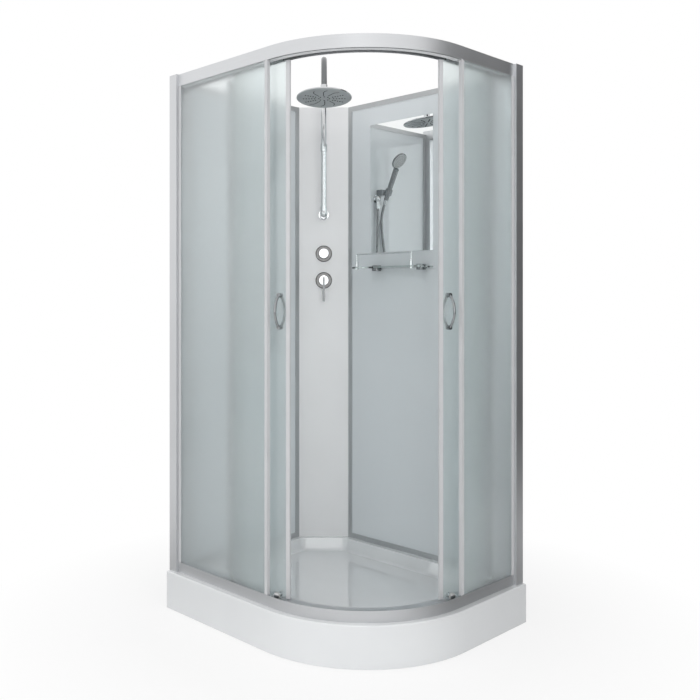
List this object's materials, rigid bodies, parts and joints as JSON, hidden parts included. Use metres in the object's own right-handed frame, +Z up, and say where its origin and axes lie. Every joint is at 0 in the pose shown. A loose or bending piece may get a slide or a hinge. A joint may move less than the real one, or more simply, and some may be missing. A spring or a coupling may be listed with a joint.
{
  "type": "shower cabin",
  "caption": "Corner shower cabin with a low tray, curved sliding doors, frosted side panes, mirror, shelf, gooseneck rain shower, lever mixer and hand shower on a hose.",
  "frame": {"origin": "middle of the footprint's bounding box, at floor level", "axes": "+Z up, +X along the long side, the room's walls at -X and +Y, the round corner at +X -Y"},
  "size_m": [1.1, 0.9, 2.2956],
  "materials": {
    "acrylic": "gloss",
    "galvanised_steel": "satin",
    "steel_screws": "satin",
    "waste_plastic": "matte",
    "aluminium": "satin",
    "frosted_glass": "satin frosted",
    "back_glass": "gloss",
    "seal_plastic": "satin",
    "chrome": "polished",
    "nylon": "matte",
    "column_panel": "gloss",
    "mirror": "polished",
    "brass": "satin",
    "chromed_plastic": "chromed",
    "spray_plastic": "satin",
    "hose_cover": "chromed"
  },
  "bodies": {
    "cabin": {"tray": "acrylic", "tray_frame": "galvanised_steel", "levelling_feet": "steel_screws", "drain_trap": "waste_plastic", "lower_rail": "aluminium", "upper_rail": "aluminium", "left_wall_profile": "aluminium", "right_wall_profile": "aluminium", "left_fixed_glass": "frosted_glass", "right_fixed_glass": "frosted_glass", "fixed_edge_strips": "seal_plastic", "glazing_beads": "seal_plastic", "left_back_glass": "back_glass", "right_back_glass": "back_glass", "left_back_frame": "aluminium", "right_back_frame": "aluminium", "corner_column": "column_panel", "mirror": "mirror", "shelf_plate": "back_glass", "shelf_brackets": "chrome", "shelf_guard_rail": "chrome", "valve_body": "brass", "feed_pipes": "brass", "valve_rosettes": "chrome", "riser_elbow": "chrome", "riser_pipe": "chrome", "riser_union": "chrome", "rain_arm": "chrome", "hand_outlet": "chrome", "handset_holder": "chromed_plastic", "shower_hose": "hose_cover", "hose_outlet_nut": "chrome"},
    "left_door": {"left_door_glass": "frosted_glass", "left_door_magnet_strip": "seal_plastic", "left_door_rear_seal": "seal_plastic", "left_door_handles": "chrome", "left_door_roller_bolts": "chrome"},
    "left_wheel_top_lead": {"left_wheel_top_lead": "nylon"},
    "left_wheel_top_rear": {"left_wheel_top_rear": "nylon"},
    "left_wheel_low_lead": {"left_wheel_low_lead": "nylon"},
    "left_wheel_low_rear": {"left_wheel_low_rear": "nylon"},
    "right_door": {"right_door_glass": "frosted_glass", "right_door_magnet_strip": "seal_plastic", "right_door_rear_seal": "seal_plastic", "right_door_handles": "chrome", "right_door_roller_bolts": "chrome"},
    "right_wheel_top_lead": {"right_wheel_top_lead": "nylon"},
    "right_wheel_top_rear": {"right_wheel_top_rear": "nylon"},
    "right_wheel_low_lead": {"right_wheel_low_lead": "nylon"},
    "right_wheel_low_rear": {"right_wheel_low_rear": "nylon"},
    "rain_swivel": {"rain_swivel_nut": "chrome"},
    "rain_shower": {"rain_head": "chromed_plastic", "rain_face": "spray_plastic"},
    "diverter": {"diverter_knob": "chrome"},
    "mixer": {"mixer_hub": "chrome"},
    "lever": {"mixer_lever": "chrome"},
    "hand_shower": {"handset_body": "chromed_plastic", "handset_face": "spray_plastic", "hose_handset_nut": "chrome"},
    "waste_cover": {"drain_cover": "chrome"}
  },
  "joints": [
    {"name": "left_door_slide", "type": "hinge", "parent": "cabin", "child": "left_door", "pos_m": [-0.06149, 0.35437, 1.15], "axis": [0, 0, 1], "range_deg": [0, 22.04]},
    {"name": "left_wheel_top_lead_spin", "type": "hinge", "parent": "left_door", "child": "left_wheel_top_lead", "pos_m": [0.062, -0.40339, 2.1183], "axis": [-0.2564, 0.9666, 0], "continuous": true},
    {"name": "left_wheel_top_rear_spin", "type": "hinge", "parent": "left_door", "child": "left_wheel_top_rear", "pos_m": [-0.20656, -0.39139, 2.1183], "axis": [0.3416, 0.9399, 0], "continuous": true},
    {"name": "left_wheel_low_lead_spin", "type": "hinge", "parent": "left_door", "child": "left_wheel_low_lead", "pos_m": [0.062, -0.40339, 0.1898], "axis": [-0.2564, 0.9666, 0], "continuous": true},
    {"name": "left_wheel_low_rear_spin", "type": "hinge", "parent": "left_door", "child": "left_wheel_low_rear", "pos_m": [-0.20656, -0.39139, 0.1898], "axis": [0.3416, 0.9399, 0], "continuous": true},
    {"name": "right_door_slide", "type": "hinge", "parent": "cabin", "child": "right_door", "pos_m": [-0.25437, 0.16149, 1.15], "axis": [0, 0, 1], "range_deg": [-22.04, 0]},
    {"name": "right_wheel_top_lead_spin", "type": "hinge", "parent": "right_door", "child": "right_wheel_top_lead", "pos_m": [0.50339, 0.038, 2.1183], "axis": [-0.9666, 0.2564, 0], "continuous": true},
    {"name": "right_wheel_top_rear_spin", "type": "hinge", "parent": "right_door", "child": "right_wheel_top_rear", "pos_m": [0.49139, 0.30656, 2.1183], "axis": [-0.9399, -0.3416, 0], "continuous": true},
    {"name": "right_wheel_low_lead_spin", "type": "hinge", "parent": "right_door", "child": "right_wheel_low_lead", "pos_m": [0.50339, 0.038, 0.1898], "axis": [-0.9666, 0.2564, 0], "continuous": true},
    {"name": "right_wheel_low_rear_spin", "type": "hinge", "parent": "right_door", "child": "right_wheel_low_rear", "pos_m": [0.49139, 0.30656, 0.1898], "axis": [-0.9399, -0.3416, 0], "continuous": true},
    {"name": "rain_swivel_spin", "type": "hinge", "parent": "cabin", "child": "rain_swivel", "pos_m": [-0.18308, 0.08308, 2.12711], "axis": [-0.0862, 0.0862, 0.9925], "continuous": true},
    {"name": "rain_head_tilt", "type": "hinge", "parent": "rain_swivel", "child": "rain_shower", "pos_m": [-0.18209, 0.08209, 2.1157], "axis": [0.7071, 0.7071, 0], "range_deg": [-12, 12]},
    {"name": "diverter_turn", "type": "hinge", "parent": "cabin", "child": "diverter", "pos_m": [-0.44505, 0.34505, 1.455], "axis": [0.7071, -0.7071, 0], "range_deg": [-45, 45]},
    {"name": "mixer_turn", "type": "hinge", "parent": "cabin", "child": "mixer", "pos_m": [-0.44505, 0.34505, 1.332], "axis": [0.7071, -0.7071, 0], "range_deg": [-45, 45]},
    {"name": "mixer_lift", "type": "hinge", "parent": "mixer", "child": "lever", "pos_m": [-0.43374, 0.33374, 1.332], "axis": [-0.7071, -0.7071, 0], "range_deg": [0, 25]},
    {"name": "hand_shower_lift", "type": "slide", "parent": "cabin", "child": "hand_shower", "axis": [0.4099, 0, 0.9121], "range_m": [0, 0.12]},
    {"name": "waste_cover_lift", "type": "slide", "parent": "cabin", "child": "waste_cover", "axis": [0, 0, 1], "range_m": [0, 0.04]}
  ],
  "couplings": [
    {"joint": "left_wheel_top_lead_spin", "follows": "left_door_slide", "ratio": 61.127},
    {"joint": "left_wheel_top_rear_spin", "follows": "left_door_slide", "ratio": 60.037},
    {"joint": "left_wheel_low_lead_spin", "follows": "left_door_slide", "ratio": 61.127},
    {"joint": "left_wheel_low_rear_spin", "follows": "left_door_slide", "ratio": 60.037},
    {"joint": "right_wheel_top_lead_spin", "follows": "right_door_slide", "ratio": 61.127},
    {"joint": "right_wheel_top_rear_spin", "follows": "right_door_slide", "ratio": 60.037},
    {"joint": "right_wheel_low_lead_spin", "follows": "right_door_slide", "ratio": 61.127},
    {"joint": "right_wheel_low_rear_spin", "follows": "right_door_slide", "ratio": 60.037}
  ]
}
